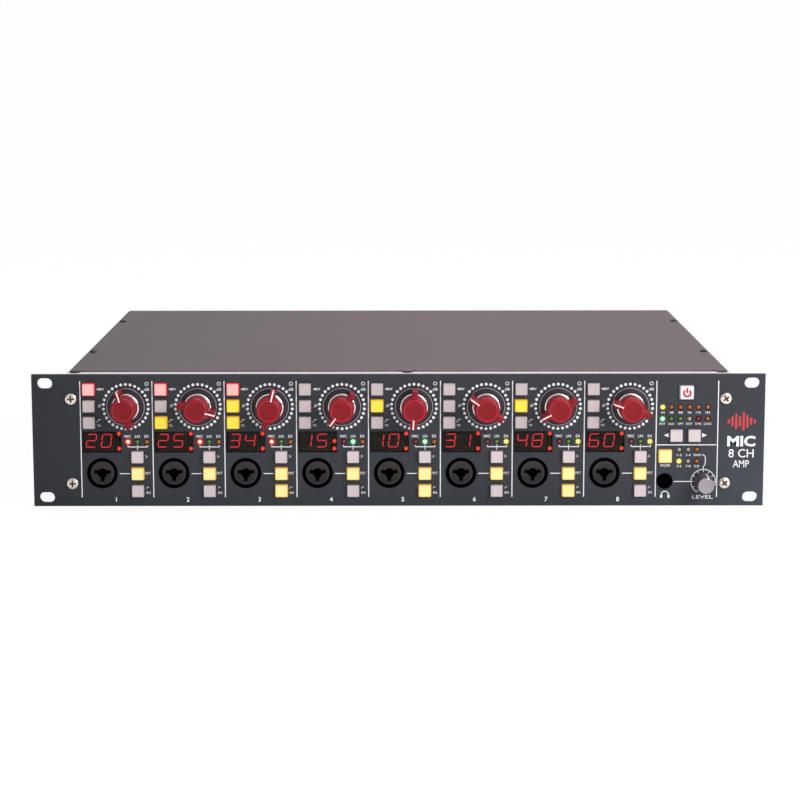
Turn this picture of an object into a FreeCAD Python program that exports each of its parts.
import FreeCAD, Part
import math
import os

# Two-unit rack audio unit with eight input channels, a phones section on the right
# and sockets at the rear.
# Frame: X right, Y to the rear, Z up, millimetres. The origin is the centre of the
# rack-slot pattern on the front panel's rear face, so the panel's front is y = -PANEL_T.

Vector = FreeCAD.Vector

# ---------------------------------------------------------------- driving dimensions
PANEL_W = 482.6          # 19 inch rack panel
PANEL_H = 88.1           # two rack units
PANEL_T = 3.0
PANEL_FRONT = -PANEL_T
PANEL_CUT = (PANEL_FRONT - 1, 1)     # y range that passes through the panel

CASE_W = 440.0           # case behind the panel
CASE_BACK = 357.0        # rear face of the case
CASE_LOW = -43.6
CASE_TOP = 44.0
SHEET = 1.0              # cover and base sheet
BASE_TOP = CASE_LOW + SHEET
CHASSIS_HALF = 218.6     # half width of the base and rear panel
CHASSIS_TOP = 42.9
COVER_FRONT = 14.0       # front edge of the cover
FRAME_TOP = 43.3         # top of the front frame's flange
FRAME_LOW = -43.5
REAR_PANEL_Y = 355.5     # front face of the rear panel
REAR_CUT = (350, 362)    # y range that passes through the rear panel and sockets

PITCH = 47.41            # channel pitch
CHANNELS = 8
BOARD_Y = 8.4            # front face of the control board
BOARD_T = 1.6

CAP = 8.15               # channel button cap, square
CAP_CLEARANCE = 0.55     # panel hole is this much wider than the cap
CAP_OUT = 2.6            # cap stands this far out of the panel
CAP_CORNER_R = 0.7
BUTTON_FLANGE = 9.8      # square retaining flange behind the panel
STEM = 3.0

LED_R = 1.45
LED_HOLE_R = 1.6

SHAFT_CLEARANCE = 0.05   # radial
BUSH_R = 4.4             # gain control bush
SHAFT_R = 3.0
LEVEL_SHAFT_R = 2.0
JACK_R = 3.25            # quarter-inch plug bore
COMBO_HOLE_R = 10.2

# ---------------------------------------------------------------- positions
# *_H is a height above the panel's bottom edge, and channel x values are for channel 1.
KNOB_X, KNOB_H = -179.4, 66.7
COMBO_X, COMBO_H = -195.75, 22.2
WINDOW_X, WINDOW_H = (-208.45 - 182.75) / 2, (36.0 + 50.1) / 2
LEFT_X, RIGHT_X = -203.7, -172.2     # columns of channel buttons
LEFT_BUTTONS_H = {"phantom": 78.3, "phase": 67.2, "filter": 56.2}
RIGHT_BUTTONS_H = {
    "source_buttons": 33.2,
    "input_buttons": 21.9,
    "impedance_buttons": 10.4,
}
# name: x, height, cap size
SINGLE_BUTTONS = {
    "power_button": (189.6, 76.0, 8.9),
    "arrow_button_left": (183.1, 47.3, 8.4),
    "arrow_button_right": (195.0, 47.3, 8.4),
    "monitor_button": (176.0, 33.5, 8.7),
}


def up(height):
    """Z of a height above the panel's bottom edge."""
    return height - PANEL_H / 2


def column(x, k):
    """X in channel k (from 0) of a feature at x in the first channel."""
    return x + PITCH * k


def channel_row(x, height):
    return [(column(x, k), up(height)) for k in range(CHANNELS)]


PHONES_X, PHONES_Z = 176.0, up(16.7)
LEVEL_X, LEVEL_Z = 201.5, up(16.3)

left_rows = {name: channel_row(LEFT_X, h) for name, h in LEFT_BUTTONS_H.items()}
right_rows = {name: channel_row(RIGHT_X, h) for name, h in RIGHT_BUTTONS_H.items()}
single_caps = {name: (x, up(h), size) for name, (x, h, size) in SINGLE_BUTTONS.items()}
channel_rows = list(left_rows.values()) + list(right_rows.values())
all_caps = [(x, z, CAP) for row in channel_rows for x, z in row]
all_caps += list(single_caps.values())

led_spots = []
for k in range(CHANNELS):
    led_spots += [(column(x, k), up(43.2)) for x in (-178.4, -172.2, -166.0)]
for x in (174.0, 179.7, 185.8, 191.7, 197.5, 203.7):
    led_spots += [(x, up(66.1)), (x, up(58.3))]
for x in (185.3, 191.3, 197.0):
    led_spots += [(x, up(37.7)), (x, up(29.9))]

panel_screw_spots = [(side * 215.4, up(h)) for side in (-1, 1) for h in (72.0, 15.5)]
cover_screw_spots = [(side * 215.0, y) for side in (-1, 1) for y in (108.0, 284.0)]  # x, y
tab_spots = [(x, 11.7) for x in (-214.5, 5.8, 214.5)]                                # x, y
TAB_R = 3.3              # cover's front tongues
TAB_LOW = 42.32          # underside of the tongues

# rear sockets
XLR_SPOTS = [(-194.0 + 31.0 * k, 5.0) for k in range(CHANNELS)]
DSUB_SPOTS = [(78.0, 17.0), (78.0, -14.0)]
INLET_X, INLET_Z = 178.0, 2.0
REAR_HOLE_R = 1.6        # screw holes
SOCKET_FLANGE_T = 2.0    # XLR sockets and mains inlet
DSUB_FLANGE_T = 1.0


def xlr_screws(x, z):
    return [(x - 9.5, z + 12.0), (x + 9.5, z - 12.0)]


def dsub_screws(x, z):
    return [(x - 23.5, z), (x + 23.5, z)]


inlet_screws = [(INLET_X + side * 20.0, INLET_Z + 19.5) for side in (-1, 1)]
edge_screws = [(x, 38.5) for x in (-205.0, -70.0, 60.0, 205.0)]
# x, z, seat of the head
rear_screws = [
    (sx, sz, CASE_BACK + SOCKET_FLANGE_T) for x, z in XLR_SPOTS for sx, sz in xlr_screws(x, z)
]
rear_screws += [
    (sx, sz, CASE_BACK + DSUB_FLANGE_T) for x, z in DSUB_SPOTS for sx, sz in dsub_screws(x, z)
]
rear_screws += [(x, z, CASE_BACK + SOCKET_FLANGE_T) for x, z in inlet_screws]
rear_screws += [(x, z, CASE_BACK) for x, z in edge_screws]


# ---------------------------------------------------------------- helpers
def box(x0, x1, y0, y1, z0, z1):
    return Part.makeBox(x1 - x0, y1 - y0, z1 - z0, Vector(x0, y0, z0))


def side_box(side, x0, x1, y0, y1, z0, z1):
    """Box on the right (side 1), or its mirror image on the left (side -1)."""
    left, right = sorted((side * x0, side * x1))
    return box(left, right, y0, y1, z0, z1)


def bar(x, z, width, height, y0, y1):
    """Rectangular bar along Y, centred on (x, z)."""
    return box(x - width / 2, x + width / 2, y0, y1, z - height / 2, z + height / 2)


def round_bar(x, z, width, height, y0, y1, radius):
    """Bar along Y with its four long edges rounded."""
    shape = bar(x, z, width, height, y0, y1)
    edges = []
    for edge in shape.Edges:
        step = edge.Vertexes[0].Point - edge.Vertexes[1].Point
        if abs(step.x) < 1e-6 and abs(step.z) < 1e-6:
            edges.append(edge)
    return shape.makeFillet(radius, edges)


def rod(x, z, radius, y0, y1):
    """Cylinder along Y."""
    return Part.makeCylinder(radius, y1 - y0, Vector(x, y0, z), Vector(0, 1, 0))


def post(x, y, radius, z0, z1):
    """Cylinder along Z."""
    return Part.makeCylinder(radius, z1 - z0, Vector(x, y, z0), Vector(0, 0, 1))


def fuse(items):
    return items[0].fuse(items[1:]).removeSplitter()


def face_edges(shape, y):
    """Edges lying in the plane at this y."""
    boxes = [(edge, edge.BoundBox) for edge in shape.Edges]
    return [edge for edge, b in boxes if abs(b.YMin - y) < 1e-4 and abs(b.YMax - y) < 1e-4]


def polygon_face(points):
    return Part.Face(Part.makePolygon(points + points[:1]))


def prism_x(outline, x0, x1):
    """Extrude a (y, z) outline along X."""
    return polygon_face([Vector(x0, y, z) for y, z in outline]).extrude(Vector(x1 - x0, 0, 0))


def prism_y(outline, y0, y1):
    """Extrude an (x, z) outline along Y."""
    return polygon_face([Vector(x, y0, z) for x, z in outline]).extrude(Vector(0, y1 - y0, 0))


def revolve_y(outline, x, z):
    """Revolve a (radius, y) outline about the line along Y through (x, z)."""
    face = polygon_face([Vector(x + r, y, z) for r, y in outline])
    return face.revolve(Vector(x, 0, z), Vector(0, 1, 0), 360)


def group(shapes):
    """Keep separate solids together in one compound."""
    return Part.makeCompound([solid for shape in shapes for solid in shape.Solids])


def turned(shape, x, z, degrees):
    """Turn about the Y line through (x, z), clockwise seen from the front."""
    result = shape.copy()
    result.rotate(Vector(x, 0, z), Vector(0, 1, 0), degrees)
    return result


os.makedirs("parts", exist_ok=True)


def save(name, shape):
    if shape.ShapeType == "Compound" and len(shape.Solids) == 1:
        shape = shape.Solids[0]
    shape.exportStep("parts/%s.step" % name)


# ---------------------------------------------------------------- front panel
SLOT_X = 465.12 / 2      # rack slots, half pitch
SLOT_Z = 76.2 / 2
SLOT_LEN = 10.0
SLOT_R = 3.5
WINDOW_W = 25.7
WINDOW_TALL = 14.1


def rack_slot(x, z):
    half = SLOT_LEN / 2 - SLOT_R
    return fuse(
        [
            bar(x, z, 2 * half, 2 * SLOT_R, *PANEL_CUT),
            rod(x - half, z, SLOT_R, *PANEL_CUT),
            rod(x + half, z, SLOT_R, *PANEL_CUT),
        ]
    )


def front_panel():
    panel = bar(0, 0, PANEL_W, PANEL_H, PANEL_FRONT, 0)
    panel = panel.makeChamfer(0.35, face_edges(panel, PANEL_FRONT))
    holes = [rack_slot(sx * SLOT_X, sz * SLOT_Z) for sx in (-1, 1) for sz in (-1, 1)]
    holes += [rod(x, z, 2.1, *PANEL_CUT) for x, z in panel_screw_spots]
    for x, z, size in all_caps:
        hole = size + CAP_CLEARANCE
        holes.append(round_bar(x, z, hole, hole, *PANEL_CUT, CAP_CORNER_R))
    holes += [rod(x, z, LED_HOLE_R, *PANEL_CUT) for x, z in led_spots]
    for x, z in channel_row(KNOB_X, KNOB_H):
        holes.append(rod(x, z, BUSH_R + 0.15, *PANEL_CUT))
    for x, z in channel_row(COMBO_X, COMBO_H):
        holes.append(rod(x, z, COMBO_HOLE_R, *PANEL_CUT))
    for x, z in channel_row(WINDOW_X, WINDOW_H):
        holes.append(round_bar(x, z, WINDOW_W, WINDOW_TALL, *PANEL_CUT, 0.6))
    holes.append(rod(PHONES_X, PHONES_Z, 4.75, *PANEL_CUT))
    holes.append(rod(LEVEL_X, LEVEL_Z, 3.4, *PANEL_CUT))
    return panel.cut(holes)


save("front_panel", front_panel())


# ---------------------------------------------------------------- front frame
def front_frame():
    """Light bracket behind the panel, with flanges running back to the cover."""
    half = CASE_W / 2
    back = COVER_FRONT - 0.1
    flange_low = FRAME_TOP - 1.0
    frame = fuse(
        [
            box(-half, half, 0, 1.5, FRAME_LOW, FRAME_TOP),
            box(-half, half, 0, back, flange_low, FRAME_TOP),
            box(-216, 216, COVER_FRONT - 1.0, 24, FRAME_TOP - 1.4, FRAME_TOP - 0.4),
            side_box(-1, 218.8, half, 0, back, FRAME_LOW, FRAME_TOP),
            side_box(1, 218.8, half, 0, back, FRAME_LOW, FRAME_TOP),
            box(-217, 217, 0, 14, BASE_TOP, BASE_TOP + 1.2),
        ]
    )
    # the cover's tongues sit in shallow pockets of the top flange, floored by plates
    pockets, plates = [], []
    r = TAB_R + 0.3
    for x, y in tab_spots:
        pockets.append(box(x - r, x + r, y, 15.0, flange_low, FRAME_TOP + 2))
        pockets.append(post(x, y, r, flange_low, FRAME_TOP + 2))
        pockets.append(box(x - 6.3, x + 6.3, back, 17.2, FRAME_TOP - 1.8, FRAME_TOP))
        plates.append(box(x - r - 1, x + r + 1, 7.0, back, FRAME_TOP - 2.0, flange_low))
    frame = fuse([frame.cut(pockets)] + plates)
    bays = [(column(-209.2, k), column(-164.0, k)) for k in range(CHANNELS)] + [(170.0, 209.6)]
    openings = [box(x0, x1, -1, 3, up(4.5), up(84.0)) for x0, x1 in bays]
    openings += [rod(x, z, 2.0, -1, 3) for x, z in panel_screw_spots]
    openings += [post(x, y, 1.3, 38, 44) for x, y in tab_spots]
    return frame.cut(openings)


save("front_frame", front_frame())

# ---------------------------------------------------------------- base chassis
BASE_FRONT, BASE_BACK = 1.6, 355.4
RAIL_FRONT = 30.0        # the sides are taller behind this y
MAIN_BOARD_LOW = -36.4   # underside of the main board, on the posts


def side_vents(x, half_width):
    """Vent slots in both side walls, cut out to half_width either side of x."""
    return [
        box(side * x - half_width, side * x + half_width, y, y + 4.0, -14, 20)
        for side in (-1, 1)
        for y in [120 + i * 9.0 for i in range(14)]
    ]


def base_chassis():
    half = CHASSIS_HALF
    inner = half - 1.2
    top = CHASSIS_TOP
    base = [box(-half, half, BASE_FRONT, BASE_BACK, CASE_LOW, BASE_TOP)]
    for side in (-1, 1):
        base.append(side_box(side, inner, half, BASE_FRONT, BASE_BACK, CASE_LOW, 40.8))
        base.append(side_box(side, inner, half, RAIL_FRONT, BASE_BACK, 40.8, top))
        base.append(side_box(side, 207.0, half, RAIL_FRONT, BASE_BACK, top - 1.0, top))
    for x in (-200, -45, 110):
        for y in (45, 325):
            base.append(post(x, y, 3.2, BASE_TOP, MAIN_BOARD_LOW))
    tools = [post(x, y, 1.4, 35, 44) for x, y in cover_screw_spots]
    tools += side_vents(218, 2)
    for i in range(12):
        x = -66 + i * 12.0
        tools.append(box(x - 2.5, x + 2.5, 150, 200, CASE_LOW - 1, CASE_LOW + 2))
    return fuse(base).cut(tools)


save("base_chassis", base_chassis())


# ---------------------------------------------------------------- top cover
def arch(half, low, top, radius, y0, y1):
    """Bar along Y whose two upper corners are rounded."""
    shape = box(-half, half, y0, y1, low, top)
    edges = []
    for edge in shape.Edges:
        bound = edge.BoundBox
        at_top = abs(bound.ZMin - top) < 1e-6 and abs(bound.ZMax - top) < 1e-6
        if at_top and abs(bound.XMin - bound.XMax) < 1e-6:
            edges.append(edge)
    return shape.makeFillet(radius, edges)


# (y, z) side outline that bevels the cover's upper front edge
COVER_SIDE = [
    (COVER_FRONT, CASE_LOW - 1),
    (COVER_FRONT, 43.75),
    (15.2, 43.93),
    (16.8, CASE_TOP),
    (16.8, CASE_TOP + 2),
    (CASE_BACK + 1, CASE_TOP + 2),
    (CASE_BACK + 1, CASE_LOW - 1),
]


def top_cover():
    half = CASE_W / 2
    outer = arch(half, CASE_LOW, CASE_TOP, 2.6, COVER_FRONT, CASE_BACK)
    outer = outer.common(prism_x(COVER_SIDE, -230, 230))
    inner = arch(
        half - SHEET, CASE_LOW - 5, CASE_TOP - SHEET, 0.5, COVER_FRONT - 2, CASE_BACK + 2
    )
    cover = outer.cut(inner)
    # tongues for the front screws, with relief notches beside them
    root = COVER_FRONT + 0.8
    tabs, notches = [], []
    for x, y in tab_spots:
        tabs.append(box(x - TAB_R, x + TAB_R, y, root, TAB_LOW, 43.05))
        tabs.append(post(x, y, TAB_R, TAB_LOW, 43.05))
        tabs.append(box(x - TAB_R, x + TAB_R, COVER_FRONT, root, TAB_LOW, 43.5))
        for side in (-1, 1):
            if x * side < 200:       # no notch on the outer side of the end tongues
                x0, x1 = sorted((x + side * TAB_R, x + side * 6.1))
                notches.append(box(x0, x1, 13.0, 16.4, 41.0, 45.0))
    cover = fuse([cover.cut(notches)] + tabs)
    tools = [post(x, y, 1.7, 40, 46) for x, y in cover_screw_spots]
    for x, y in tab_spots:
        tools.append(Part.makeCone(1.55, 2.75, 0.75, Vector(x, y, TAB_LOW), Vector(0, 0, 1)))
    tools += side_vents(219.5, 1)
    return cover.cut(tools)


save("top_cover", top_cover())


# ---------------------------------------------------------------- rear panel
def rear_panel():
    panel = box(-CHASSIS_HALF, CHASSIS_HALF, REAR_PANEL_Y, CASE_BACK, CASE_LOW, CHASSIS_TOP)
    tools = [rod(x, z, 11.9, *REAR_CUT) for x, z in XLR_SPOTS]
    tools += [round_bar(x, z, 40.0, 11.0, *REAR_CUT, 2.0) for x, z in DSUB_SPOTS]
    tools.append(round_bar(INLET_X, INLET_Z, 48.5, 28.5, *REAR_CUT, 3.0))
    # row of upright vent slots
    tools += [round_bar(119 + i * 6.0, 2.0, 2.6, 44.0, *REAR_CUT, 1.2) for i in range(5)]
    tools += [rod(x, z, REAR_HOLE_R, *REAR_CUT) for x, z, seat in rear_screws]
    return panel.cut(tools)


save("rear_panel", rear_panel())


# ---------------------------------------------------------------- screws
def cross_y(x, z, half, y0, y1):
    """Cross recess along Y: two crossed bars."""
    long, short = 2 * half, 2 * half * 0.27
    return [bar(x, z, long, short, y0, y1), bar(x, z, short, long, y0, y1)]


def cross_z(x, y, half, z0, z1):
    """Cross recess along Z."""
    short = half * 0.27
    return [
        box(x - half, x + half, y - short, y + short, z0, z1),
        box(x - short, x + short, y - half, y + half, z0, z1),
    ]


# (radius, y) outline of the domed head
PANEL_SCREW_HEAD = [
    (0, -5.3), (1.6, -5.25), (2.8, -5.0), (3.6, -4.45),
    (3.95, -3.7), (3.95, PANEL_FRONT), (0, PANEL_FRONT),
]


def panel_screw(x, z):
    screw = fuse([revolve_y(PANEL_SCREW_HEAD, x, z), rod(x, z, 1.95, PANEL_FRONT, 7.0)])
    return screw.cut(cross_y(x, z, 1.9, -5.4, -4.1))


def cover_screw(x, y):
    """Domed screw in the top of the cover."""
    dome = Part.makeSphere(4.2, Vector(x, y, 41.2))
    head = dome.common(post(x, y, 2.6, CASE_TOP, 46.0))
    screw = fuse([head, post(x, y, 1.35, 38.0, CASE_TOP + 0.1)])
    return screw.cut(cross_z(x, y, 1.4, 44.6, 45.6))


def tab_screw(x, y):
    """Countersunk screw in a front tongue of the cover."""
    head = Part.makeCone(1.5, 2.6, 0.65, Vector(x, y, TAB_LOW + 0.05), Vector(0, 0, 1))
    screw = fuse([head, post(x, y, 1.25, 40.7, 42.5)])
    return screw.cut(cross_z(x, y, 1.3, 42.65, 43.1))


def rear_screw(x, z, seat):
    screw = fuse([rod(x, z, 2.4, seat, seat + 1.2), rod(x, z, 1.5, 349.0, seat + 0.2)])
    return screw.cut(cross_y(x, z, 1.3, seat + 0.5, seat + 1.5))


save("panel_screws", group([panel_screw(x, z) for x, z in panel_screw_spots]))
case_screws = [cover_screw(x, y) for x, y in cover_screw_spots]
case_screws += [tab_screw(x, y) for x, y in tab_spots]
case_screws += [rear_screw(x, z, seat) for x, z, seat in rear_screws]
save("case_screws", group(case_screws))

# ---------------------------------------------------------------- displays and lamps
DISPLAY_FRONT = -1.4     # the window's rear face meets the module here


def display_window(x, z):
    return round_bar(x, z, WINDOW_W - 0.2, WINDOW_TALL - 0.2, -2.9, DISPLAY_FRONT, 0.5)


def display_modules():
    """A wide block and a narrow block behind each window."""
    return [
        box(column(x0, k), column(x1, k), DISPLAY_FRONT, BOARD_Y, up(36.2), up(49.6))
        for k in range(CHANNELS)
        for x0, x1 in ((-208.2, -186.4), (-186.0, -183.05))
    ]


def led(x, z):
    tip = -2.2           # y where the dome starts
    return fuse([rod(x, z, LED_R, tip, BOARD_Y), Part.makeSphere(LED_R, Vector(x, tip, z))])


windows = [display_window(x, z) for x, z in channel_row(WINDOW_X, WINDOW_H)]
save("display_windows", group(windows))
save("display_modules", group(display_modules()))
save("indicator_leds", group([led(x, z) for x, z in led_spots]))


# ---------------------------------------------------------------- buttons and switches
def button(x, z, size):
    front = PANEL_FRONT - CAP_OUT
    cap = round_bar(x, z, size, size, front, 0.6, CAP_CORNER_R)
    cap = cap.makeChamfer(0.45, face_edges(cap, front))
    return fuse(
        [
            cap,
            bar(x, z, BUTTON_FLANGE, BUTTON_FLANGE, 0.6, 1.4),
            bar(x, z, STEM, STEM, 1.4, 5.4),
        ]
    )


def switch(x, z):
    """Switch body on the control board, with a socket for the button's stem."""
    socket = STEM + 0.3
    return bar(x, z, 6.4, 6.4, 4.4, BOARD_Y).cut(bar(x, z, socket, socket, 4.0, 7.4))


save("button_switches", group([switch(x, z) for x, z, size in all_caps]))
for name, row in left_rows.items():
    for k, (x, z) in enumerate(row):
        save("%s_button_%d" % (name, k + 1), button(x, z, CAP))
for name, row in right_rows.items():
    save(name, group([button(x, z, CAP) for x, z in row]))
for name, (x, z, size) in single_caps.items():
    save(name, button(x, z, size))

# ---------------------------------------------------------------- gain controls and knobs
# pointer angles at rest, degrees clockwise seen from the front
KNOB_ANGLES = [-18.0, 105.0, 14.5, 216.5, 183.0, -55.0, 242.0, -72.0]
KNOB_TOP = PANEL_FRONT - 19.5        # front face of the knob
SKIRT_R = 12.6
RING_R = 9.2
WING_R = 12.75
# (radius, y) outlines
SKIRT = [
    (0, -3.6), (12.3, -3.6), (SKIRT_R, -3.9), (SKIRT_R, -4.6),
    (12.3, -4.9), (RING_R + 0.3, -5.3), (0, -5.3),
]
RING = [
    (0, -5.2), (RING_R, -5.2), (RING_R, -6.9),
    (RING_R - 0.3, -7.5), (RING_R - 0.6, -7.6), (0, -7.6),
]
KNOB_CAP = [
    (0, -7.5), (8.45, -7.5), (8.45, -12.0), (8.3, KNOB_TOP + 2.0),
    (7.9, KNOB_TOP + 0.9), (7.3, KNOB_TOP + 0.3), (6.7, KNOB_TOP), (0, KNOB_TOP),
]
WING = [
    (0.0, KNOB_TOP + 1.0), (11.9, KNOB_TOP + 1.2), (12.5, KNOB_TOP + 1.8),
    (WING_R, KNOB_TOP + 2.6), (WING_R, -5.6), (0.0, -5.6),
]
GROOVE = [
    (7.0, KNOB_TOP - 1), (7.0, KNOB_TOP + 1.5), (11.8, KNOB_TOP + 1.65),
    (12.15, KNOB_TOP + 2.0), (12.3, KNOB_TOP + 2.8), (12.3, -11.0),
    (14, -11.0), (14, KNOB_TOP - 1),
]


def encoder(x, z):
    """Body, bush and hexagonal panel nut, bored for the knob's shaft."""
    angles = [math.radians(a) for a in range(0, 360, 60)]
    hexagon = [(x + 6.3 * math.cos(a), z + 6.3 * math.sin(a)) for a in angles]
    shape = fuse(
        [
            bar(x, z, 12.5, 13.0, 1.6, BOARD_Y),
            rod(x, z, BUSH_R, -8.0, 1.6),
            prism_y(hexagon, PANEL_FRONT - 2.0, PANEL_FRONT),
        ]
    )
    return shape.cut(rod(x, z, SHAFT_R + SHAFT_CLEARANCE, -9.0, 6.0))


def radial_slab(outline, x, z, side, width):
    """Slab from a (radius, y) outline, above (side 1) or below (side -1) the axis."""
    return prism_x([(y, z + side * r) for r, y in outline], x - width / 2, x + width / 2)


def gain_knob(x, z, angle):
    """Knob with two full-height wings, the first grooved as the pointer, and its shaft."""
    body = fuse(
        [
            revolve_y(SKIRT, x, z),
            revolve_y(RING, x, z),
            revolve_y(KNOB_CAP, x, z),
            radial_slab(WING, x, z, 1, 4.2),
            radial_slab(WING, x, z, -1, 4.2),
        ]
    )
    body = body.cut(radial_slab(GROOVE, x, z, 1, 1.0))
    body = body.cut(rod(x, z, 6.9, -9.0, -3.0))
    body = fuse([body, rod(x, z, SHAFT_R, -9.5, 5.0)])
    return turned(body, x, z, angle)


knob_spots = channel_row(KNOB_X, KNOB_H)
for k, (x, z) in enumerate(knob_spots):
    save("gain_knob_%d" % (k + 1), gain_knob(x, z, KNOB_ANGLES[k]))

# ---------------------------------------------------------------- phones level control
LEVEL_ANGLE = 15.0
LEVEL_TOP = PANEL_FRONT - 16.0       # front face of the level knob
# (radius, y) outline
LEVEL_KNOB = [
    (0, -3.5), (5.8, -3.5), (5.9, -3.9), (5.9, -5.2), (5.8, -6.2),
    (5.7, LEVEL_TOP + 1.2), (5.55, LEVEL_TOP + 0.35), (5.2, LEVEL_TOP), (0, LEVEL_TOP),
]


def level_pot(x, z):
    pot = fuse([bar(x, z, 10.4, 10.4, 1.6, BOARD_Y), rod(x, z, 3.25, -6.0, 1.6)])
    return pot.cut(rod(x, z, LEVEL_SHAFT_R + SHAFT_CLEARANCE, -7.0, 6.0))


def level_knob(x, z):
    """Knob with a pointer notch and twelve flutes, and its shaft."""
    knob = revolve_y(LEVEL_KNOB, x, z)
    knob = knob.cut(rod(x, z, 3.6, -7.0, -3.0))
    knob = fuse([knob, rod(x, z, LEVEL_SHAFT_R, -7.5, 5.0)])
    knob = knob.cut(box(x - 0.4, x + 0.4, LEVEL_TOP - 1, -7.0, z + 5.2, z + 7))
    for i in range(12):
        a = math.radians(15 + 30 * i)
        flute = rod(x + 6.0 * math.cos(a), z + 6.0 * math.sin(a), 0.55, LEVEL_TOP - 1, -6.6)
        knob = knob.cut(flute)
    return turned(knob, x, z, LEVEL_ANGLE)


controls = [encoder(x, z) for x, z in knob_spots] + [level_pot(LEVEL_X, LEVEL_Z)]
save("rotary_controls", group(controls))
save("level_knob", level_knob(LEVEL_X, LEVEL_Z))

# ---------------------------------------------------------------- front sockets
COMBO_FACE = -2.6        # y of the recessed socket face
COMBO_GAP_R = 9.55       # ring gap around the insert
INSERT_R = 8.0


def pin_holes(x, z, y0, y1):
    """Three contact holes on a circle: left, right and bottom."""
    holes = []
    for dx, dz in ((-1, 0.2), (1, 0.2), (0, -1.0)):
        scale = 4.75 / math.hypot(dx, dz)
        holes.append(rod(x + scale * dx, z + scale * dz, 1.35, y0, y1))
    return holes


def combo_jack(x, z):
    """Three-pin socket with a quarter-inch jack in its centre."""
    shell = fuse([rod(x, z, 10.05, -3.5, 0.2), bar(x, z, 21.8, 24.8, 0.0, 28.0)])
    tools = [
        rod(x, z, COMBO_GAP_R, -4.0, 15.0).cut(rod(x, z, INSERT_R, -5.0, 16.0)),
        rod(x, z, JACK_R, -5.0, COMBO_FACE + 26.0),
        rod(x, z, COMBO_GAP_R, -4.0, COMBO_FACE),
    ]
    tools += pin_holes(x, z, -5.0, 12.0)
    key = box(
        x - 1.3, x + 1.3, COMBO_FACE, 12.0, z + INSERT_R - 0.9, z + COMBO_GAP_R - 0.05
    )
    return fuse([shell.cut(tools), key])


def phones_jack(x, z):
    # (radius, y) outline of the nut in front of the panel
    nut = [(0, -3.0), (5.2, -3.0), (5.2, -3.7), (4.7, -4.3), (0, -4.3)]
    jack = fuse(
        [
            revolve_y(nut, x, z),
            rod(x, z, 4.6, -3.1, 0.0),
            box(x - 5.8, x + 6.6, 0.0, 24.0, z - 6.4, z + 6.4),
        ]
    )
    return jack.cut(rod(x, z, JACK_R, -5.0, 21.0))


combo_spots = channel_row(COMBO_X, COMBO_H)
save("combo_jacks", group([combo_jack(x, z) for x, z in combo_spots]))
save("phones_jack", phones_jack(PHONES_X, PHONES_Z))


# ---------------------------------------------------------------- rear sockets
def screw_holes(spots):
    return [rod(x, z, REAR_HOLE_R, *REAR_CUT) for x, z in spots]


def xlr(x, z):
    face = CASE_BACK + SOCKET_FLANGE_T
    socket = fuse(
        [
            round_bar(x, z, 26.0, 31.0, CASE_BACK, face, 2.5),
            rod(x, z, 11.7, 332.0, CASE_BACK + 0.1),
            rod(x, z, 11.2, face - 0.1, face + 1.0),
        ]
    )
    gap = rod(x, z, 9.6, 344.0, 362.0).cut(rod(x, z, 8.0, 343.0, CASE_BACK + 1.4))
    tools = [gap] + pin_holes(x, z, 346.0, 362.0) + screw_holes(xlr_screws(x, z))
    latch = box(x - 4.5, x + 4.5, face - 0.1, face + 1.4, z + 11.6, z + 14.4)
    return fuse([socket.cut(tools), latch])


def dsub(x, z):
    """25-way socket: 13 contacts in the upper row, 12 in the lower."""
    nose = [(x - 19.6, z + 4.2), (x + 19.6, z + 4.2), (x + 18.2, z - 4.2), (x - 18.2, z - 4.2)]
    socket = fuse(
        [
            round_bar(x, z, 53.0, 12.5, CASE_BACK, CASE_BACK + DSUB_FLANGE_T, 1.0),
            prism_y(nose, CASE_BACK + 0.5, CASE_BACK + 6.0),
            round_bar(x, z, 39.0, 10.6, 345.0, CASE_BACK + 0.5, 1.8),
        ]
    )
    tools = []
    for count, start, dz in ((13, -16.6, 1.42), (12, -15.2, -1.42)):
        for i in range(count):
            contact_x = x + start + i * 2.76
            tools.append(rod(contact_x, z + dz, 0.55, CASE_BACK + 1, CASE_BACK + 7))
    return socket.cut(tools + screw_holes(dsub_screws(x, z)))


# (x, z) outline of the plug well, from the inlet's centre
PLUG_WELL = [(-20.5, 8.3), (4.5, 8.3), (4.5, -4.5), (0.8, -8.3), (-16.8, -8.3), (-20.5, -4.5)]
BLADES = [(-14.5, -1.5), (-8.0, 2.6), (-1.5, -1.5)]


def power_inlet(x, z):
    """Mains inlet with a separate fuse drawer on its right."""
    face = CASE_BACK + SOCKET_FLANGE_T
    drawer_x = x + 14.5
    inlet = fuse(
        [
            round_bar(x, z, 52.0, 32.0, CASE_BACK, face, 3.0),
            round_bar(x, z, 48.0, 28.0, 332.0, CASE_BACK + 0.5, 2.5),
            box(x - 24.0, x + 24.0, CASE_BACK, face, z + 14.0, z + 23.5),
        ]
    )
    tools = [prism_y([(x + dx, z + dz) for dx, dz in PLUG_WELL], 341.0, CASE_BACK + 3)]
    tools += screw_holes(inlet_screws)
    tools.append(round_bar(drawer_x, z, 12.6, 20.6, 350.0, CASE_BACK + 3, 1.0))
    blades = [bar(x + dx, z + dz, 2.0, 4.4, 340.9, 355.0) for dx, dz in BLADES]
    inlet = fuse([inlet.cut(tools)] + blades)
    drawer = round_bar(drawer_x, z, 12.3, 20.3, 350.0, CASE_BACK + 1.4, 1.0)
    grip = box(x + 9.5, x + 19.5, CASE_BACK + 0.6, CASE_BACK + 3, z - 9.0, z - 6.8)
    return group([inlet, drawer.cut(grip)])


save("rear_xlr_sockets", group([xlr(x, z) for x, z in XLR_SPOTS]))
save("dsub_sockets", group([dsub(x, z) for x, z in DSUB_SPOTS]))
save("power_inlet", power_inlet(INLET_X, INLET_Z))


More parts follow.
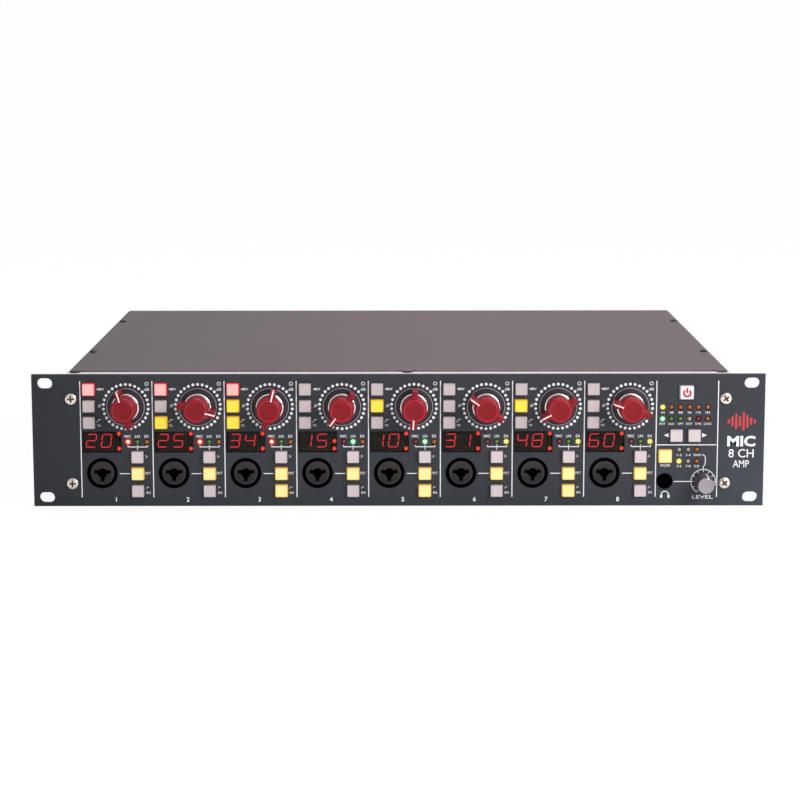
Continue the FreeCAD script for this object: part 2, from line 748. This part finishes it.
# ---------------------------------------------------------------- boards
def control_board():
    """Upright board behind the panel, cut out around the front sockets."""
    back = BOARD_Y + BOARD_T
    board = box(-213.0, 213.0, BOARD_Y, back, -40.4, 40.4)
    tools = [bar(x, z, 22.8, 25.8, 5, 15) for x, z in combo_spots]
    tools.append(bar(PHONES_X, PHONES_Z, 14.4, 14.0, 5, 15))
    items = [board.cut(tools)]
    for k in range(CHANNELS):
        items.append(box(column(-183.5, k), column(-173.5, k), back, 11.9, 12.0, 20.0))
    items.append(box(180.0, 200.0, back, 17.0, -8.0, -2.0))
    return group(items)


def main_board():
    """Board with eight input transformers, supply capacitors and amplifier chips."""
    top = MAIN_BOARD_LOW + BOARD_T
    items = [box(-212.0, 122.0, 34.0, 340.0, MAIN_BOARD_LOW, top)]
    for k in range(CHANNELS):
        x = -193.0 + 40.2 * k
        items.append(box(x - 11, x + 11, 272.0, 298.0, top, top + 24.0))
        for y in (80.0, 130.0, 180.0):
            items.append(box(x - 5, x + 5, y, y + 10.0, top, top + 2.6))
            items.append(post(x + 10, y + 22.0, 4.0, top, top + 11.5))
    items.append(box(-30, 20, 42.0, 52.0, top, top + 9.0))
    return group(items)


def power_supply():
    """Switched-mode supply on its own tray."""
    x0, x1, y0, y1 = 134.0, 208.0, 190.0, 322.0      # tray
    wall = 1.2
    floor = BASE_TOP + wall
    board_low = floor + 4.0
    top = board_low + BOARD_T
    tray = fuse(
        [
            box(x0, x1, y0, y1, BASE_TOP, floor),
            box(x0, x0 + wall, y0, y1, BASE_TOP, -10.0),
            box(x1 - wall, x1, y0, y1, BASE_TOP, -10.0),
        ]
    )
    items = [tray, box(136.5, 205.5, 192.0, 320.0, board_low, top)]
    items += [post(x, y, 2.5, floor, board_low) for x in (141, 201) for y in (197, 315)]
    # large block, then two upright plates
    items.append(box(150.0, 184.0, 238.0, 270.0, top, -7.0))
    items.append(box(192.0, 196.0, 205.0, 290.0, top, -6.0))
    items.append(box(142.0, 146.0, 215.0, 285.0, top, -8.0))
    items += [post(x, y, 6.2, top, -12.0) for x, y in ((158, 212), (176, 212), (165, 288))]
    items.append(box(150.0, 172.0, 302.0, 316.0, top, -17.0))
    return group(items)


save("control_board", control_board())
save("main_board", main_board())
save("power_supply", power_supply())
